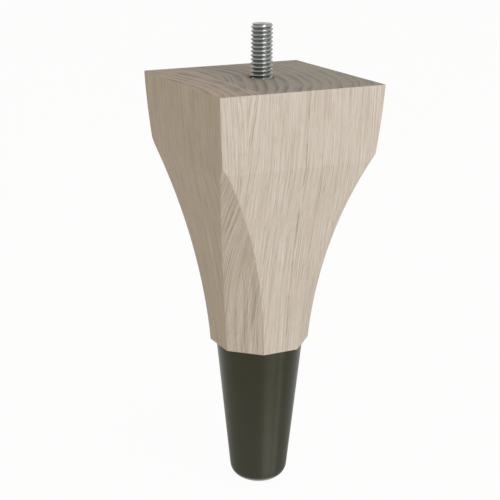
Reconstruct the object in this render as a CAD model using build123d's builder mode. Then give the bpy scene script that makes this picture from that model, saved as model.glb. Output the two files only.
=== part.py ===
from build123d import *
from math import cos, radians, tan
import os

# A tapered wooden furniture foot on a dark metal ferrule, with a stud to screw it on by.
# All sizes are in millimetres. The origin is the centre of the ferrule's underside, which
# the foot stands on, and +Z runs up the axis to the stud.

# The wooden block, glued up from two boards before it was sawn to shape
block_width = 63.5
block_height = 98.3
glue_line_offset = 15.75
crease_depth = 27.1
crease_width = 59.05
side_bow = 0.24
neck_width = 33.85
face_hollow = 1.7
corner_neck_width = 33.7
corner_hollow_radius = 162.0
corner_neck_angle = 4.93
arris_radius = 0.4

# The ferrule, a tapered metal cup under the neck of the block
ferrule_height = 56.1
ferrule_top_diameter = 32.2
ferrule_taper_angle = 6.0
ferrule_edge_radius = 6.15
ferrule_wall = 1.2
ferrule_base = 4.0

# The round spigot turned below the neck, glued into the ferrule
spigot_end_chamfer = 1.5
spigot_end_gap = 1.0
glue_clearance = 0.15

# The hanger bolt: a stud above the wood, a plain shank and a wood screw in it
stud_diameter = 7.94
stud_length = 19.05
stud_chamfer_width = 0.6
stud_chamfer_height = 0.9
shank_undercut = 0.47
shank_length = 12.7
screw_core_diameter = 5.8
screw_length = 31.75
screw_point_length = 7.0

# The stepped hole that the bolt is driven into
mouth_clearance = 0.4
pilot_clearance = 0.1
pilot_extra_depth = 2.0

# Heights where the pieces and the faces meet
neck_z = ferrule_height
top_z = neck_z + block_height
crease_z = top_z - crease_depth
spigot_end_z = ferrule_base + spigot_end_gap


def ferrule_radius(height):
    """The ferrule's outside radius at a height above the floor, with the foot's round left out."""
    return ferrule_top_diameter / 2 - (ferrule_height - height) * tan(radians(ferrule_taper_angle))


def bore_radius(height):
    """The ferrule's inside radius at a height, with the same wall thickness all the way up."""
    return ferrule_radius(height) - ferrule_wall / cos(radians(ferrule_taper_angle))


def spigot_radius(height):
    """The spigot's radius at a height, inside the ferrule and the glue around it."""
    return bore_radius(height) - glue_clearance / cos(radians(ferrule_taper_angle))


# The block from the front: bowed sides down to the crease, then hollow ones
with BuildSketch() as face_outline:
    with BuildLine():
        Line((0, top_z), (block_width / 2, top_z))
        SagittaArc((block_width / 2, top_z), (crease_width / 2, crease_z), side_bow)
        SagittaArc((crease_width / 2, crease_z), (neck_width / 2, neck_z), -face_hollow)
        Line((neck_width / 2, neck_z), (0, neck_z))
        mirror(about=Plane.YZ)
    make_face()

# The block along a diagonal: hollows that start at the neck and run out at the corners
with BuildSketch() as corner_outline:
    with BuildLine():
        neck_direction = Vector(0, 1).rotate(Axis.Z, -corner_neck_angle)
        past_corner = Axis((block_width, 0), (0, 1))
        hollow = JernArc((corner_neck_width / 2, neck_z), neck_direction, corner_hollow_radius, past_corner)
        waste = Line(hollow @ 1, ((hollow @ 1).X, top_z + block_width))
        Line(waste @ 1, (0, (waste @ 1).Y))
        Line(hollow @ 0, (0, neck_z))
        mirror(about=Plane.YZ)
    make_face()

# The block as glued up and shaped: two face outlines, two corner outlines, then the arrises
with BuildPart() as block:
    with BuildSketch(Plane.XZ):
        add(face_outline.sketch)
    extrude(amount=block_width, both=True)
    with BuildSketch(Plane.YZ):
        add(face_outline.sketch)
    extrude(amount=block_width, both=True, mode=Mode.INTERSECT)
    for side in (1, -1):
        with BuildSketch(Plane(origin=(0, 0, 0), x_dir=(1, side, 0), z_dir=(side, -1, 0))):
            add(corner_outline.sketch)
        extrude(amount=block_width, both=True, mode=Mode.INTERSECT)

    fillet(block.edges(), radius=arris_radius)

    # The spigot is turned to the ferrule's taper, with a chamfer to lead it in
    with BuildSketch(Plane.XZ):
        with BuildLine():
            Polyline(
                (0, neck_z),
                (spigot_radius(neck_z), neck_z),
                (spigot_radius(spigot_end_z + spigot_end_chamfer), spigot_end_z + spigot_end_chamfer),
                (spigot_radius(spigot_end_z) - spigot_end_chamfer, spigot_end_z),
                (0, spigot_end_z),
                close=True,
            )
        make_face()
    revolve(axis=Axis.Z)

    with Locations((0, 0, top_z)):
        CounterBoreHole(
            radius=screw_core_diameter / 2 + pilot_clearance,
            counter_bore_radius=stud_diameter / 2 + mouth_clearance,
            counter_bore_depth=shank_length,
            depth=shank_length + screw_length + pilot_extra_depth,
        )

# The glue line lies to one side of the axis, so the whole spigot and the bolt's hole are in one board
glue_line = Plane(origin=(-glue_line_offset, 0, 0), z_dir=(1, 0, 0))

with BuildPart() as main_board:
    add(block.part)
    split(bisect_by=glue_line, keep=Keep.TOP)

with BuildPart() as side_board:
    add(block.part)
    split(bisect_by=glue_line, keep=Keep.BOTTOM)

# A cup with a large round at the foot, bored to its own taper and flat at the bottom of the bore
with BuildPart() as ferrule:
    with BuildSketch(Plane.XZ):
        with BuildLine():
            outside = FilletPolyline(
                (0, 0),
                (ferrule_radius(0), 0),
                (ferrule_radius(ferrule_height), ferrule_height),
                radius=ferrule_edge_radius,
            )
            bore = Polyline(
                (0, ferrule_base),
                (bore_radius(ferrule_base), ferrule_base),
                (bore_radius(ferrule_height), ferrule_height),
            )
            Line(outside @ 0, bore @ 0)
            Line(outside @ 1, bore @ 1)
        make_face()
    revolve(axis=Axis.Z)

# The bolt's shank ends on the shoulder inside the wood's hole
shoulder_z = top_z - shank_length
screw_end_z = shoulder_z - screw_length
stud_end_z = top_z + stud_length

with BuildPart() as hanger_bolt:
    with BuildSketch(Plane.XZ):
        with BuildLine():
            Polyline(
                (0, stud_end_z),
                (stud_diameter / 2 - stud_chamfer_width, stud_end_z),
                (stud_diameter / 2, stud_end_z - stud_chamfer_height),
                (stud_diameter / 2, top_z),
                (stud_diameter / 2 - shank_undercut, top_z),
                (stud_diameter / 2 - shank_undercut, shoulder_z),
                (screw_core_diameter / 2, shoulder_z),
                (screw_core_diameter / 2, screw_end_z + screw_point_length),
                (0, screw_end_z),
                close=True,
            )
        make_face()
    revolve(axis=Axis.Z)

os.makedirs("parts", exist_ok=True)

main_board.part.label = "main_board"
side_board.part.label = "side_board"
ferrule.part.label = "ferrule"
hanger_bolt.part.label = "hanger_bolt"

for piece in (main_board, side_board, ferrule, hanger_bolt):
    export_step(piece.part, f"parts/{piece.part.label}.step")
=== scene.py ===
# %% [markdown]
# # A wooden furniture foot with a metal ferrule
# The foot screws under a sofa or a cabinet. A block of pale washed oak, glued up from two boards,
# runs from a square top to an eight-sided neck, and stands in a dark bronze ferrule. A threaded
# stud comes out of the sawn top. The shapes of the wood and the ferrule are right in the
# construction model already, so this lesson gives them their finishes. Only the bolt is modelled
# anew, because its thread is a visible shape.

# %% Load the construction model
import bmesh
import bpy
import math
from mathutils import Matrix, Vector
from types import SimpleNamespace


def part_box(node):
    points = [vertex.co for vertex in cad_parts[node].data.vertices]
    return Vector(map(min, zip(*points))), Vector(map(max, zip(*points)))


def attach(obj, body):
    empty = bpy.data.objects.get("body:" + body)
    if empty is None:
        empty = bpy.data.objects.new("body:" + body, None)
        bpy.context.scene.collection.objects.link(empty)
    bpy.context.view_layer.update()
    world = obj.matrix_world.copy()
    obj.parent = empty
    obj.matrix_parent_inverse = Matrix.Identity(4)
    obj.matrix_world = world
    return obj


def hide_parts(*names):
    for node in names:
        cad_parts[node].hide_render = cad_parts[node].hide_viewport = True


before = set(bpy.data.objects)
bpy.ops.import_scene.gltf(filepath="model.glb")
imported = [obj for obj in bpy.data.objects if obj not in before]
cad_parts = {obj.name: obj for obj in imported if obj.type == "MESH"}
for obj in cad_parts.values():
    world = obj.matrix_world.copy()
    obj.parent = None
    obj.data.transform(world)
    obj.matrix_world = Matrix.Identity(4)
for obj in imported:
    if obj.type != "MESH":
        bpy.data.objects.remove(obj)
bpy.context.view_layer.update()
scene = bpy.context.scene
MM = 0.001
print("nodes:", sorted(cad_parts))

# %% [markdown]
# ## Heights, in millimetres
# The foot stands on the floor at height zero, with its axis on the Z axis. Blender counts in
# metres, but a maker thinks in millimetres, so the patterns and the bolt are laid out in those.
# The main heights could be typed in again. They are read off the construction model instead, so
# that the finishes follow it when it changes.

# %% Read the main heights
def top_of(node_name):
    """The highest point of a node."""
    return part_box(node_name)[1][2] / MM


neck_height = top_of("ferrule")
top_height = top_of("main_board")
stud_end = top_of("hanger_bolt")
screw_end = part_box("hanger_bolt")[0][2] / MM
print(f"neck {neck_height:.2f}, top {top_height:.2f}")
print(f"bolt from {screw_end:.2f} to {stud_end:.2f}")

# %% [markdown]
# ## The camera
# The camera stands a little above the foot and to the left of its front face, and looks down at
# the sawn top. Its place, turn and lens were worked out beforehand from the corners of the block.
# A camera looks along its own -Z, so its matrix is built from three directions: right, up and back.

# %% Place the camera
camera_place = Vector((-0.21252, -0.40656, 0.22776))
camera_heading = math.radians(27.1369)
camera_pitch = math.radians(16.6501)
camera_roll = math.radians(0.3703)

ahead = Vector((
    math.sin(camera_heading) * math.cos(camera_pitch),
    math.cos(camera_heading) * math.cos(camera_pitch),
    -math.sin(camera_pitch),
))
level_right = ahead.cross(Vector((0, 0, 1))).normalized()
level_up = level_right.cross(ahead)
right = level_right * math.cos(camera_roll) + level_up * math.sin(camera_roll)
up = level_up * math.cos(camera_roll) - level_right * math.sin(camera_roll)

camera = bpy.data.objects.new("camera", bpy.data.cameras.new("camera"))
camera.data.lens = 93.745
camera.data.sensor_width = 36
camera.data.clip_start = 0.01
turn = Matrix((right, up, -ahead)).transposed().to_4x4()
camera.matrix_world = Matrix.Translation(camera_place) @ turn
scene.collection.objects.link(camera)
scene.camera = camera
print("camera at", [round(c, 4) for c in camera_place])

# %% [markdown]
# ## Arithmetic that wires nodes
# A finish is a network of small nodes. They could be placed one call at a time, but that hides the
# idea behind the wiring. Here a Signal stands for a node's output, and Python's own signs add the
# Math nodes: a + b adds one, and so does 1 - mask.

# %% A signal that can be reckoned with
class Signal:
    """The output of a node, which plain arithmetic can be done with."""

    def __init__(self, bench, socket):
        self.bench = bench
        self.socket = socket

    def __add__(self, other):
        return self.bench.math("ADD", self, other)

    def __sub__(self, other):
        return self.bench.math("SUBTRACT", self, other)

    def __mul__(self, other):
        return self.bench.math("MULTIPLY", self, other)

    def __truediv__(self, other):
        return self.bench.math("DIVIDE", self, other)

    def __rsub__(self, other):
        return self.bench.math("SUBTRACT", other, self)

    def __rtruediv__(self, other):
        return self.bench.math("DIVIDE", other, self)

    __radd__ = __add__
    __rmul__ = __mul__


print("signs on both sides:", sorted(name for name in vars(Signal) if name.startswith("__r")))

# %% [markdown]
# ## The bench
# A Bench holds one node tree. Its node method adds any kind of node: what the node is set to comes
# first, because that can change which sockets it has, and then its sockets are given values or
# links. The other methods are short names for the few kinds that a finish needs often.

# %% The bench that finishes are wired on
def find(sockets, name):
    """The socket with a name or an identifier. A Mix node's sockets differ only in the second."""
    return next(socket for socket in sockets if name in (socket.identifier, socket.name))


def set_stops(elements, stops):
    """Gives a colour ramp its stops, each a place from 0 to 1 and a colour."""
    while len(elements) < len(stops):
        elements.new(0.5)
    for element, (place, colour) in zip(elements, stops):
        element.position = place
        element.color = colour


class Bench:
    """A node tree, a new material's own or one that is given, and the ways to add nodes to it."""

    def __init__(self, name="", tree=None):
        if tree is None:
            self.material = bpy.data.materials.new(name)
            self.material.use_nodes = True
            tree = self.material.node_tree
        self.tree = tree
        self.tree.nodes.clear()

    def node(self, kind, settings=None, inputs=None, output=None):
        """Adds a node, sets it up, fills its sockets, and gives the named or the first output."""
        made = self.tree.nodes.new(kind)
        for name, value in (settings or {}).items():
            if name == "stops":
                set_stops(made.color_ramp.elements, value)
            else:
                setattr(made, name, value)
        for name, value in (inputs or {}).items():
            socket = find(made.inputs, name)
            if isinstance(value, Signal):
                self.tree.links.new(value.socket, socket)
            else:
                socket.default_value = value
        if made.outputs:
            return Signal(self, find(made.outputs, output) if output else made.outputs[0])

    def math(self, operation, a, b=0.0):
        return self.node("ShaderNodeMath", {"operation": operation}, {"Value": a, "Value_001": b})

    def ease(self, value, low, high):
        """0 at low, 1 at high and a smooth rise between them. High may be the lower one."""
        rise = self.node("ShaderNodeMapRange", {"interpolation_type": "SMOOTHSTEP"}, {
            "Value": value, "From Min": min(low, high), "From Max": max(low, high),
        })
        return rise if low < high else 1.0 - rise

    def blend(self, factor, first, second):
        """The first colour where the factor is 0, and the second where it is 1."""
        return self.node("ShaderNodeMix", {"data_type": "RGBA"}, {
            "Factor_Float": factor, "A_Color": first, "B_Color": second,
        }, "Result_Color")

    def tones(self, value, stops):
        """The colours of a ramp along a value from 0 to 1."""
        return self.node("ShaderNodeValToRGB", {"stops": stops}, {"Fac": value}, "Color")

    def bump(self, height, strength, depth):
        """A relief from a height, as a normal. The depth is in millimetres."""
        return self.node("ShaderNodeBump", inputs={
            "Strength": strength, "Distance": depth * MM, "Height": height,
        })

    def finish(self, inputs):
        """Ends the material with a surface, and gives the material."""
        surface = self.node("ShaderNodeBsdfPrincipled", inputs=inputs)
        self.node("ShaderNodeOutputMaterial", inputs={"Surface": surface})
        return self.material


print("bench tools:", [name for name in vars(Bench) if not name.startswith("_")])

# %% [markdown]
# ## Places and noise
# Every pattern starts from a place on the piece. Object coordinates are used, because they stay
# with the piece and need no unwrapping. Noise that is stretched along the axis gives grain,
# clouds and turning marks alike, so one helper makes all of them from two sizes.

# %% Places and noise in millimetres
def split(bench, vector):
    """The three parts of a vector, as signals."""
    parts = {"Vector": vector}
    return [bench.node("ShaderNodeSeparateXYZ", None, parts, axis) for axis in "XYZ"]


def place_on_piece(bench):
    """The place on the piece in millimetres, as three signals."""
    coordinates = bench.node("ShaderNodeTexCoord", output="Object")
    return [part * (1 / MM) for part in split(bench, coordinates)]


def noise(bench, x, y, z, detail=2.0, roughness=0.5):
    """Noise from -0.5 to 0.5 whose lumps are about one unit of x, y and z large."""
    vector = bench.node("ShaderNodeCombineXYZ", inputs={"X": x, "Y": y, "Z": z})
    return bench.node("ShaderNodeTexNoise", inputs={
        "Vector": vector, "Scale": 1.0, "Detail": detail, "Roughness": roughness,
    }) - 0.5


def lumps(bench, place, width, length, detail=2.0, roughness=0.5, offset=0.0):
    """Noise in lumps of a width across the axis and a length along it."""
    x, y, z = place
    return noise(bench, x / width + offset, y / width, z / length, detail, roughness)


print("one metre is", 1 / MM, "units of the patterns")

# %% [markdown]
# ## Colours as a paint chart gives them
# A screen or a chart gives a colour as three levels up to 255, on a bent scale where 128 looks
# half bright. The nodes reckon with light itself, so each level is straightened first.

# %% A colour from its three levels
def shade(red, green, blue):
    """A colour as a paint chart gives it, in the form that nodes take."""
    def straight(level):
        share = level / 255
        return share / 12.92 if share <= 0.04045 else ((share + 0.055) / 1.055) ** 2.4
    return (straight(red), straight(green), straight(blue), 1.0)


print("a mid grey of 128 is written as", round(shade(128, 128, 128)[0], 4))

# %% [markdown]
# ## The wood, as one solid pattern
# A board shows growth rings as arcs on its sawn end and as long lines on its faces, and both are
# the same layers cut two ways. A picture wrapped round the block would break at the edges, so the
# pattern fills the whole solid: each point's distance from the heart of the tree gives its layer,
# and slow noise bends the layers by a few millimetres. Each board has its own heart, and that is
# why the arcs meet in a chevron at the glue line.

# %% The growth rings of both boards
def new_board(name, offset):
    """A board's finish in the making. The offset moves its noise, so that no two are alike."""
    bench = Bench(name)
    return SimpleNamespace(name=name, bench=bench, place=place_on_piece(bench), offset=offset)


drift_bend, wave_bend = 9.0, 1.1
year_variation = 2.6


def add_rings(board, heart, year_width):
    """heart is where the tree's middle lies, and year_width is how much it grew in a year."""
    bench, place, offset = board.bench, board.place, board.offset
    drift = lumps(bench, place, width=45, length=60, detail=1.0, offset=offset)
    board.wave = lumps(bench, place, width=8, length=22, detail=1.0, offset=offset)
    from_heart_x = place[0] - heart[0]
    from_heart_y = place[1] - heart[1]
    distance = bench.math("SQRT", from_heart_x * from_heart_x + from_heart_y * from_heart_y)
    board.layer = distance + drift * drift_bend + board.wave * wave_bend
    board.bearing = bench.math("ARCTAN2", from_heart_y, from_heart_x)

    # Some years are wide and some narrow. A year darkens slowly and ends at once
    uneven = noise(bench, board.layer / 7 + offset, 0.0, 0.0, detail=1.0) * year_variation
    year = bench.math("FRACT", board.layer / year_width + uneven)
    board.late_wood = bench.ease(year, 0.30, 0.92) * bench.ease(year, 1.0, 0.92)
    board.early_wood = bench.ease(year, 0.0, 0.06) * bench.ease(year, 0.4, 0.1)


main_wood = new_board("main_board_wood", offset=3.7)
side_wood = new_board("side_board_wood", offset=11.2)
add_rings(main_wood, heart=(-60.0, 14.0), year_width=3.5)
add_rings(side_wood, heart=(-130.0, -6.0), year_width=3.6)
for board in (main_wood, side_wood):
    print(board.name, "has rings, in", len(board.bench.tree.nodes), "nodes")

# %% [markdown]
# ## Which way the wood was cut
# The same wood looks different on each cut. The sawn end is grey, the long faces are nearly even,
# and the hollow facets at the corners cut the layers at a slant and show them best. Masks could be
# painted on by hand, but the direction in which the surface faces tells the cuts apart by itself.
# Each part of that direction is 1 where the surface faces straight along an axis.

# %% Tell the sawn end, the flanks and the facets apart
def add_cuts(board):
    """Adds three masks: the sawn end, the left and right flanks, and the facets at the corners."""
    bench = board.bench
    toward_x, _, toward_z = split(bench, bench.node("ShaderNodeTexCoord", output="Normal"))
    sideways = bench.math("ABSOLUTE", toward_x)
    board.sawn = bench.ease(toward_z, 0.55, 0.85)
    board.flank = bench.ease(sideways, 0.78, 0.9)
    board.facet = bench.ease(sideways, 0.35, 0.55) * (1.0 - board.flank)


for board in (main_wood, side_wood):
    add_cuts(board)
    print(board.name, "tells its cuts apart, in", len(board.bench.tree.nodes), "nodes")

# %% [markdown]
# ## A direction over each face
# Fibres are thin over a face and long along the trunk. They could be laid on each face by itself,
# but then they would break at the edges. Instead one direction runs over the front and the back
# as X does, and turns to Y on the flanks. On the side board it is also pushed apart near the
# top, so that the fibres there part in a gentle V, where the cut grazes a layer.

# %% Directions over the face and into it
lean_height = 122.0
flame_half_width = 5.0


def add_directions(board, flame=None):
    """Adds the direction over the face and the one into it. flame is the place and the height of
    the V where the fibres part, and how fast they spread above it."""
    bench, flank = board.bench, board.flank
    x, y, z = board.place
    swap = (y - x) * flank
    over = x + swap
    if flame:
        flame_x, flame_z, spread = flame
        side = bench.ease(x, flame_x - flame_half_width, flame_x + flame_half_width) * 2.0 - 1.0
        above = bench.math("MAXIMUM", z - flame_z, 0.0)
        over = over - above * side * spread * (1.0 - flank)
    board.over = over
    board.into = (y - swap) * (1.0 - board.facet * 0.9)
    board.below = bench.math("MINIMUM", z - lean_height, 0.0) * (1.0 - board.facet)


add_directions(main_wood)
add_directions(side_wood, flame=(-21.5, 122.0, 0.09))
print("the fibres lean below", lean_height)

# %% [markdown]
# ## Fibres and pores
# Close up, oak is a bundle of fibres with open pores between them, which show as short dark dashes.
# As geometry they would take millions of faces, so they are thin noise, stretched along the trunk.
# Sheets of denser fibres follow the rings, and the pores lean over on the lower half of the face.

# %% Sheets, fibres and pores
sheets_per_mm, sheet_length = 2.3, 60
fibres_per_mm, fibre_length, fibre_lean = 4.6, 36, 0.02
pores_per_mm, pore_length, pore_lean = 4.0, 3.8, 0.13


def add_fibres(board):
    """The pores lean more than the fibres do, and are widest in the early wood."""
    bench, offset = board.bench, board.offset
    over, into, below, z = board.over, board.into, board.below, board.place[2]
    layered = board.layer * sheets_per_mm + offset
    sheets = noise(bench, layered, board.bearing * 4.8, z / sheet_length, 3.0, 0.75)
    board.sheets = sheets * (1.0 - board.flank)
    side = (over - below * fibre_lean) * fibres_per_mm + offset
    board.fibres = noise(bench, side, into * 0.2, z / fibre_length, 2.0, 0.6)
    side = (over - below * pore_lean) * pores_per_mm + offset
    openness = noise(bench, side, into * 0.3, z / pore_length, 1.0)
    board.pores = bench.ease(openness, 0.04, 0.18) * (0.6 + board.early_wood * 0.4)


for board in (main_wood, side_wood):
    add_fibres(board)
    print(board.name, "has fibres and pores, in", len(board.bench.tree.nodes), "nodes")

# %% [markdown]
# ## The long faces
# The washed faces are pale and nearly even. One number per point says how light the wood is, and a
# ramp turns it into a colour, so that dark spots are browner too and not just darker. Two darker
# streaks run down the front of the main board.

# %% The colour of the long faces
side_tones = [
    (0.0, shade(140, 122, 102)),
    (0.5, shade(201, 189, 176)),
    (1.0, shade(230, 222, 212)),
]


def add_side_colour(board, streaks=()):
    """A streak is a dark line on the front: its place, its width and its darkness."""
    bench, place, offset, facet = board.bench, board.place, board.offset, board.facet
    x, y, z = place
    clouds = lumps(bench, place, width=7, length=45, offset=offset)
    fibre_strength = 1.22 - facet * 0.25 + board.flank * 0.15
    tone = 0.53 + board.sheets * (0.12 + facet) + board.fibres * fibre_strength
    tone = tone + clouds * 0.05 - board.late_wood * 0.03 - board.pores * 0.15
    front = bench.ease(y, -6.0, -14.0)
    for streak_x, width, darkness in streaks:
        gap = (x - streak_x + board.wave * 1.5) / width
        broken = bench.ease(noise(bench, x / 3 + offset, streak_x, z / 14), -0.10, 0.05)
        tone = tone - bench.math("EXPONENT", 0.0 - gap * gap) * front * broken * darkness
    board.side_colour = bench.tones(tone, side_tones)


add_side_colour(main_wood, streaks=((1.9, 0.3, 0.28), (8.5, 0.7, 0.14)))
add_side_colour(side_wood)
print("the long faces run through", len(side_tones), "tones")

# %% [markdown]
# ## The sawn end
# The fibres' open ends take in more of the wash, so the end is darker and greyer, and the years
# show as blue grey arcs. They are strong in some patches and fade in others, and to the right. The
# ramp of the faces would turn them brown, so each board's end has a ramp of its own.

# %% The colour of the sawn end
def add_end_colour(board, end_tones):
    """The same years as on the faces, with the fibres' open ends as fine speckles."""
    bench, place, offset = board.bench, board.place, board.offset
    x, y, _ = place
    open_ends = lumps(bench, place, width=1 / 3, length=4, roughness=0.6, offset=offset)
    patches = bench.ease(noise(bench, x / 14 + offset, y / 14, 4.0, detail=1.0), -0.2, 0.2)
    faded = bench.ease(x, 2.0, 22.0)
    years = board.late_wood * (0.35 + patches) * (1.0 - faded * 0.35)
    tone = 0.34 + years * 0.62 + board.sheets * 0.5 + open_ends * 0.25 + faded * 0.08
    board.end_colour = bench.tones(tone, end_tones)


add_end_colour(main_wood, [
    (0.0, shade(173, 161, 150)), (0.5, shade(155, 150, 142)), (1.0, shade(120, 121, 122)),
])
add_end_colour(side_wood, [
    (0.0, shade(196, 179, 166)), (0.5, shade(174, 161, 151)), (1.0, shade(132, 129, 127)),
])
print("the sawn end has its colour on both boards")

# %% [markdown]
# ## Both boards' finish
# The mask of the sawn end blends the two colours. The hole's wall and a thin
# ring round its mouth are painted a dark reddish brown: partly the wood's own reddish tint there,
# partly painted shade in the hole and round the stud. Oak under a wash is matt, and its open pores
# are a little rougher still.
# Their relief is far too fine to model, so a bump gives it.

# %% Put the wood's finish together
hole_mark_radius = 4.9
hole_mark_edge = 1.0
hole_mark_above = 100.0


def board_finish(board):
    """Gives the material that blends the cuts, the hole's tint and painted shade, and the relief.
    """
    bench, sheets, fibres, pores = board.bench, board.sheets, board.fibres, board.pores
    x, y, z = board.place
    colour = bench.blend(board.sawn, board.side_colour, board.end_colour)
    # Painted shade and a real tint: the hole's wall and the ring round its mouth are darkened and
    # reddened.
    radius = bench.math("SQRT", x * x + y * y) + sheets * 1.5
    hole_tint_and_shade = bench.ease(radius, hole_mark_radius + hole_mark_edge, hole_mark_radius)
    hole_tint_and_shade = hole_tint_and_shade * bench.ease(z, hole_mark_above, hole_mark_above + 1.0)
    return bench.finish({
        "Base Color": bench.blend(hole_tint_and_shade * 0.6, colour, shade(126, 84, 68)),
        "Roughness": 0.62 + pores * 0.15 + board.sawn * 0.12,
        "Normal": bench.bump(sheets * 0.2 + fibres * 0.6 - pores, strength=0.3, depth=0.2),
    })


for node_name, board in (("main_board", main_wood), ("side_board", side_wood)):
    wood = board_finish(board)
    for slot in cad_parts[node_name].material_slots:
        slot.material = wood
    print(node_name, "takes", wood.name)

# %% [markdown]
# ## The ferrule's dark bronze
# The ferrule is a spun metal cup under an olive bronze lacquer. Metal shows what stands round it,
# so its own colour is dark, and the lamps and the white room do the rest. Its turning marks are
# too fine to model: noise gives the few that are seen, and anisotropy draws the reflections out
# along the axis, as all the finer ones do together. Lower down the lacquer is duller, and its
# colour is painted paler there, a painted brightening of its reflections. On the round at the foot
# it lies thick and clear.

# %% A turned and lacquered metal
thick_below, thickest_below = 3.2, 1.8


def ferrule_finish(name):
    bench = Bench(name)
    place = place_on_piece(bench)
    height = place[2]
    turning = lumps(bench, place, width=30, length=1 / 3, detail=3.0, roughness=0.6)
    cloud = lumps(bench, place, width=9, length=9)
    lowness = bench.ease(height, neck_height, 0.0)
    colour = bench.tones(0.5 + turning * 0.5 + cloud * 0.5, [
        (0.0, shade(56, 55, 44)),
        (0.5, shade(64, 63, 51)),
        (1.0, shade(74, 72, 59)),
    ])
    return bench.finish({
        # Painted light: the colour is paler towards the foot, to brighten the reflections there.
        "Base Color": bench.blend(lowness * 0.45, colour, shade(84, 84, 75)),
        "Metallic": 1.0,
        "Roughness": 0.33 + lowness * 0.16 + cloud * 0.08 + turning * 0.06,
        "Anisotropic": 0.9,
        "Anisotropic Rotation": 0.25,
        "Coat Weight": bench.ease(height, thick_below, thickest_below),
        "Coat Roughness": 0.1,
        "Coat IOR": 1.9,
        "Normal": bench.bump(turning, strength=0.15, depth=0.05),
    })


bronze = ferrule_finish("ferrule_metal")
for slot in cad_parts["ferrule"].material_slots:
    slot.material = bronze
print("ferrule takes", bronze.name)

# %% [markdown]
# ## The hanger bolt
# The real bolt is a steel rod with a machine thread at one end and a wood screw at the other. A
# thread is one notch swept along a helix. The spin operator can sweep it, but it gives its faces
# in another order on each run, so here each step's points are placed one by one, turned and
# lifted a little. A turn's end meets the next turn's start, and merging the doubles joins them.

# %% One turn of a thread, from a notch swept round and up
def thread_turn(crest_radius, root_radius, flat_share, pitch, start, start_angle):
    """A notch runs from crest to crest over one pitch. flat_share is the share of the pitch that
    its crest and its root each take up, and start is the height that the notch starts from."""
    steps = 64
    edge_softness = 0.06
    notch = [
        (crest_radius - edge_softness, 0.0),
        (crest_radius, flat_share / 2),
        (crest_radius - edge_softness, flat_share),
        (root_radius + edge_softness, 0.5),
        (root_radius, 0.5 + flat_share / 2),
        (root_radius + edge_softness, 0.5 + flat_share),
        (crest_radius - edge_softness, 1.0),
    ]
    form = bmesh.new()
    rows = []
    for way in (step / steps for step in range(steps + 1)):
        turned = Matrix.Rotation(start_angle + way * 2 * math.pi, 3, "Z")
        spots = [(radius, 0.0, start + (way + share) * pitch) for radius, share in notch]
        rows.append([form.verts.new(turned @ Vector(spot)) for spot in spots])
    for row, next_row in zip(rows, rows[1:]):
        for corners in zip(row, next_row, next_row[1:], row[1:]):
            form.faces.new(corners)
    return form


sample = thread_turn(
    crest_radius=1.0, root_radius=0.8, flat_share=0.1, pitch=1.0, start=0.0, start_angle=0.0,
)
print("one turn has", len(sample.faces), "faces")
sample.free()

# %% [markdown]
# ## A rod of many turns
# A single long spin could sweep the whole thread, but one turn that is copied upwards keeps the
# helix exact. The copies' ends lie on each other and are merged, and two level cuts trim the rod.

# %% A rod of many turns, cut level at both ends
seam_gap = 0.0005


def threaded_rod(crest_radius, root_radius, flat_share, pitch, crest_point, bottom, top):
    """A screw thread between two heights, open at both ends. crest_point is a height that the
    crest has and its angle there. Gives the form and the rims at its bottom and its top."""
    crest_height, crest_angle = crest_point
    start = crest_height - flat_share / 2 * pitch
    start -= math.ceil((start - bottom) / pitch + 1.5) * pitch
    turns = math.ceil((top - start) / pitch) + 1
    rod = thread_turn(crest_radius, root_radius, flat_share, pitch, start, crest_angle)
    one_turn = rod.verts[:] + rod.edges[:] + rod.faces[:]
    for turn in range(1, turns):
        copy = bmesh.ops.duplicate(rod, geom=one_turn)["geom"]
        copied = [item for item in copy if isinstance(item, bmesh.types.BMVert)]
        bmesh.ops.translate(rod, verts=copied, vec=(0, 0, turn * pitch))
    bmesh.ops.remove_doubles(rod, verts=rod.verts, dist=seam_gap)
    rims = []
    for height, outward in ((bottom, -1), (top, 1)):
        cut = bmesh.ops.bisect_plane(
            rod, geom=rod.verts[:] + rod.edges[:] + rod.faces[:], plane_co=(0, 0, height),
            plane_no=(0, 0, outward), clear_outer=True,
        )
        rims.append([item for item in cut["geom_cut"] if isinstance(item, bmesh.types.BMEdge)])
    return rod, *rims


sample, *rims = threaded_rod(
    crest_radius=1.0, root_radius=0.8, flat_share=0.1, pitch=1.0, crest_point=(0.0, 0.0),
    bottom=0.0, top=3.0,
)
print("three turns have", len(sample.faces), "faces, and rims of", [len(rim) for rim in rims])
sample.free()

# %% [markdown]
# ## The stud
# The stud has a machine thread of 18 turns to the inch, which starts inside the hole. The height
# and the angle of one crest set where the whole helix starts. The last crests are worn down to a
# chamfer. A cut with a cone would leave ragged faces there, so the vertices outside the cone are
# drawn in to it instead.

# %% Sweep the machine thread
machine_pitch = 25.4 / 18
machine_flat = 0.14
stud_radius = 7.94 / 2
stud_root_radius = 3.2
machine_bottom = top_height - 6.0
machine_crest = (top_height + 16.27, math.radians(152.86))
chamfer_width, chamfer_height = 0.6, 0.9
tip_height = 0.12
shoulder_height = stud_end - tip_height


def keep_radius_under(form, limit):
    """Draws in every vertex that lies further from the axis than limit(height) allows."""
    for vert in form.verts:
        radius = math.hypot(vert.co.x, vert.co.y)
        allowed = limit(vert.co.z)
        if radius > allowed:
            vert.co.x *= allowed / radius
            vert.co.y *= allowed / radius


def chamfer_radius(height):
    """The stud's radius at a height, with its end chamfered."""
    return stud_radius - chamfer_width * max(0.0, 1 - (stud_end - height) / chamfer_height)


stud, _, stud_rim = threaded_rod(
    crest_radius=stud_radius, root_radius=stud_root_radius, flat_share=machine_flat,
    pitch=machine_pitch, crest_point=machine_crest, bottom=machine_bottom, top=shoulder_height,
)
keep_radius_under(stud, chamfer_radius)
print("machine thread:", len(stud.faces), "faces")

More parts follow.
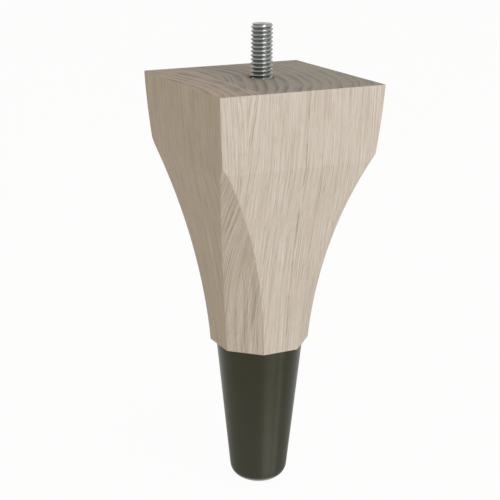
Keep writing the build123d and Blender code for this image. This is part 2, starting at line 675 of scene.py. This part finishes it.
# %% [markdown]
# ## The end of the stud
# Where the rod was sheared off, its end is flat with a small tip left in the middle. The rim of
# the cut thread isn't round, so it is bridged to a round ring first. The ring is filled, and an
# inset of that face is lifted to make the tip.

# %% Close the stud's end
end_radius = 3.05
flat_width = 1.9
tip_slope_width = 0.35


def round_ring(form, radius, height):
    """A ring of 64 edges about the axis, always in the same order."""
    place = Matrix.Translation((0, 0, height))
    ring = bmesh.ops.create_circle(form, segments=64, radius=radius, matrix=place)
    return list(dict.fromkeys(edge for vert in ring["verts"] for edge in vert.link_edges))


end_ring = round_ring(stud, end_radius, shoulder_height)
bmesh.ops.bridge_loops(stud, edges=stud_rim + end_ring)
end_face = bmesh.ops.edgeloop_fill(stud, edges=end_ring)["faces"][0]
for width in (flat_width, tip_slope_width):
    bmesh.ops.inset_region(stud, faces=[end_face], thickness=width, use_even_offset=True)
bmesh.ops.translate(stud, verts=end_face.verts[:], vec=(0, 0, tip_height))
print("end face at", round(max(v.co.z for v in end_face.verts), 2))

# %% [markdown]
# ## The wood screw
# A coarse thread with a point bites into the wood. Nobody sees it, but the bolt would fall out
# without it. It is swept as the machine thread was, and drawn in to a cone for the point.

# %% Sweep the coarse thread
shank_bottom = top_height - 12.7
screw_top = shank_bottom - 1.0
coarse_pitch = 3.2
coarse_flat = 0.06
coarse_crest = 3.8
coarse_core = 2.7
point_length = 9.0
point_radius = 0.15
point_cut = 0.3


def point_cone(height):
    """The radius that the screw's point allows at a height."""
    return max(point_radius, coarse_crest * min(1.0, (height - screw_end) / point_length))


screw, point_rim, _ = threaded_rod(
    crest_radius=coarse_crest, root_radius=coarse_core, flat_share=coarse_flat,
    pitch=coarse_pitch, crest_point=(shank_bottom, 0.0), bottom=screw_end + point_cut,
    top=screw_top,
)
bmesh.ops.edgeloop_fill(screw, edges=point_rim)
keep_radius_under(screw, point_cone)
print("coarse thread:", len(screw.faces), "faces")

# %% [markdown]
# ## The shank between the threads
# Between its threads the bolt is plain and round. Both threads come into one form, and the open
# rims are bridged by way of two round rings, which gives the shank straight sides. Merging the
# doubles after the last bridge also takes away slivers, and then the faces are turned outwards.

# %% Join the threads with a plain shank
shank_radius = 3.5
shank_top = machine_bottom - 0.8
sliver_gap = 0.004

bolt_mesh = bpy.data.meshes.new("threaded_bolt")
screw.to_mesh(bolt_mesh)
screw.free()
stud.from_mesh(bolt_mesh)
open_edges = [edge for edge in stud.edges if len(edge.link_faces) == 1]
upper_rim = [edge for edge in open_edges if edge.verts[0].co.z > shank_bottom]
lower_rim = [edge for edge in open_edges if edge.verts[0].co.z < shank_bottom]
for height in (shank_top, shank_bottom):
    ring = round_ring(stud, shank_radius, height)
    bmesh.ops.bridge_loops(stud, edges=upper_rim + ring)
    upper_rim = ring
bmesh.ops.bridge_loops(stud, edges=upper_rim + lower_rim)
bmesh.ops.remove_doubles(stud, verts=stud.verts, dist=sliver_gap)
bmesh.ops.recalc_face_normals(stud, faces=stud.faces)
open_count = sum(len(edge.link_faces) != 2 for edge in stud.edges)
print("whole bolt:", len(stud.faces), "faces,", open_count, "open edges")

# %% [markdown]
# ## The bolt in its place
# The form becomes a mesh in metres, with its place in its points and its object at the origin, as
# the construction model has it. It stands for the plain bolt there, which stays as the shape that
# things bump into. Smooth shading rounds the turns, and the crests' edges stay sharp.

# %% Put the bolt in the scene
bmesh.ops.scale(stud, vec=(MM, MM, MM), verts=stud.verts)
stud.to_mesh(bolt_mesh)
stud.free()
bolt_mesh.shade_smooth()
bolt_mesh.set_sharp_from_angle(angle=math.radians(60))
bolt = bpy.data.objects.new("threaded_bolt", bolt_mesh)
scene.collection.objects.link(bolt)
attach(bolt, "root")
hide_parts("hanger_bolt")
heights = [vert.co.z for vert in bolt_mesh.vertices]
print("bolt from", round(min(heights), 4), "to", round(max(heights), 4))

# %% [markdown]
# ## Bright steel
# The bolt is plain zinc plated steel. Its colour is lighter at the crests and darker in the roots,
# a painted shade down in the thread, and it is painted darker towards the wood, a painted shade for
# the room that is less mirrored there. The thread's shape makes most of the bright and dark bands,
# and the finish adds a faint cloudiness to its roughness.

# %% Bright zinc on steel
thread_shade_radius = 3.9
painted_shade_reach = 7.0


def bolt_finish(name):
    bench = Bench(name)
    place = place_on_piece(bench)
    x, y, z = place
    cloud = lumps(bench, place, width=3, length=3, detail=1.0)
    # Painted shade: the roots get a darker colour than the crests.
    painted_thread_shade = bench.ease(bench.math("SQRT", x * x + y * y), stud_root_radius, thread_shade_radius)
    colour = bench.blend(painted_thread_shade, shade(142, 144, 140), shade(158, 160, 157))
    # Painted shade: the colour darkens towards the wood, where less of the room is mirrored.
    painted_wood_shade = bench.ease(z, top_height + painted_shade_reach, top_height)
    return bench.finish({
        "Base Color": bench.blend(painted_wood_shade * 0.5, colour, shade(92, 92, 84)),
        "Metallic": 1.0,
        "Roughness": 0.32 + cloud * 0.12,
        "Anisotropic": 0.4,
        "Anisotropic Rotation": 0.25,
    })


bolt_mesh.materials.append(bolt_finish("bolt_steel"))
print("bolt takes", bolt_mesh.materials[0].name)

# %% [markdown]
# ## The floor
# The floor is plain white. The camera sees it nearly as bright as the white world behind, so the
# ground runs out of sight, and a little of the floor's own shade is kept under the foot. More
# light would do that too, but it would bleach the wood, so the floor glows for the camera's rays
# and the shiny ones alone.

# %% Lay the floor
floor_reach = 4.0
glow_for_camera, glow_in_metal = 0.96, 0.85

floor_form = bmesh.new()
bmesh.ops.create_grid(floor_form, x_segments=1, y_segments=1, size=floor_reach)
floor_mesh = bpy.data.meshes.new("floor")
floor_form.to_mesh(floor_mesh)
floor_form.free()
floor = bpy.data.objects.new("floor", floor_mesh)
scene.collection.objects.link(floor)

white = (1.0, 1.0, 1.0, 1.0)
ground = Bench("floor_white")
seen = ground.node("ShaderNodeLightPath", output="Is Camera Ray")
mirrored = ground.node("ShaderNodeLightPath", output="Is Glossy Ray")
matt = ground.node("ShaderNodeBsdfDiffuse", inputs={"Color": (0.9, 0.9, 0.9, 1.0)})
glow = ground.node("ShaderNodeEmission", inputs={"Color": white, "Strength": 1.0})
mixed = ground.node("ShaderNodeMixShader", inputs={
    "Fac": seen * glow_for_camera + mirrored * glow_in_metal, "Shader": matt, "Shader_001": glow,
})
ground.node("ShaderNodeOutputMaterial", inputs={"Surface": mixed})
floor_mesh.materials.append(ground.material)
print("the floor reaches", floor_reach, "metres each way")

# %% [markdown]
# ## The white room
# The world is a pure white backdrop for the camera, for the metal that mirrors it and for anything
# clear. For all other rays it is dimmer and warm, and lights the shaded side of the wood softly.

# %% Light the world
room_light = (0.488, 0.427, 0.332, 1.0)

world = bpy.data.worlds.new("studio")
world.use_nodes = True
scene.world = world
air = Bench(tree=world.node_tree)
seen = air.node("ShaderNodeLightPath", output="Is Camera Ray")
mirrored = air.node("ShaderNodeLightPath", output="Is Glossy Ray")
through = air.node("ShaderNodeLightPath", output="Is Transmission Ray")
open_view = air.math("MAXIMUM", air.math("MAXIMUM", seen, mirrored), through)
tint = air.blend(open_view, room_light, white)
backdrop = air.node("ShaderNodeBackground", inputs={"Color": tint, "Strength": 1.0})
air.node("ShaderNodeOutputWorld", inputs={"Surface": backdrop})
print("the world has", len(air.tree.nodes), "nodes")

# %% [markdown]
# ## The lamps
# One large soft lamp in front lights the front face, as a window would. A small one, low on the
# right, draws the streak down the ferrule, and one from above keeps the sawn end from going dull.
# Each is a panel that looks at the middle of the foot, so it is placed by angles and a distance.

# %% Hang the lamps
lamp_aim = Vector((0, 0, 0.09))
daylight = (0.94, 1.02, 1.13)


def lamp(name, azimuth, elevation, distance, width, height, power, colour):
    """A soft lamp that looks at the foot. Azimuth 0 is in front of the front face."""
    light = bpy.data.lights.new(name, "AREA")
    light.shape = "RECTANGLE"
    light.size = width
    light.size_y = height
    light.energy = power
    light.color = colour
    stand = bpy.data.objects.new(name, light)
    turned = math.radians(azimuth)
    raised = math.radians(elevation)
    away = Vector((
        math.sin(turned) * math.cos(raised), -math.cos(turned) * math.cos(raised), math.sin(raised),
    ))
    stand.location = lamp_aim + away * distance
    stand.rotation_euler = away.to_track_quat("Z", "Y").to_euler()
    scene.collection.objects.link(stand)
    print(name, "at", [round(c, 2) for c in stand.location])


lamp("key_lamp", 5, 11, distance=1.6, width=0.9, height=0.9, power=9.4, colour=daylight)
lamp("side_lamp", 33, 2, distance=1.2, width=0.2, height=0.15, power=2.0, colour=daylight)
lamp("top_lamp", 12, 73, distance=1.0, width=0.25, height=0.25, power=1.3, colour=white[:3])
scene.view_settings.view_transform = "Standard"

# %% [markdown]
# New pieces mustn't make the object larger than its construction model.
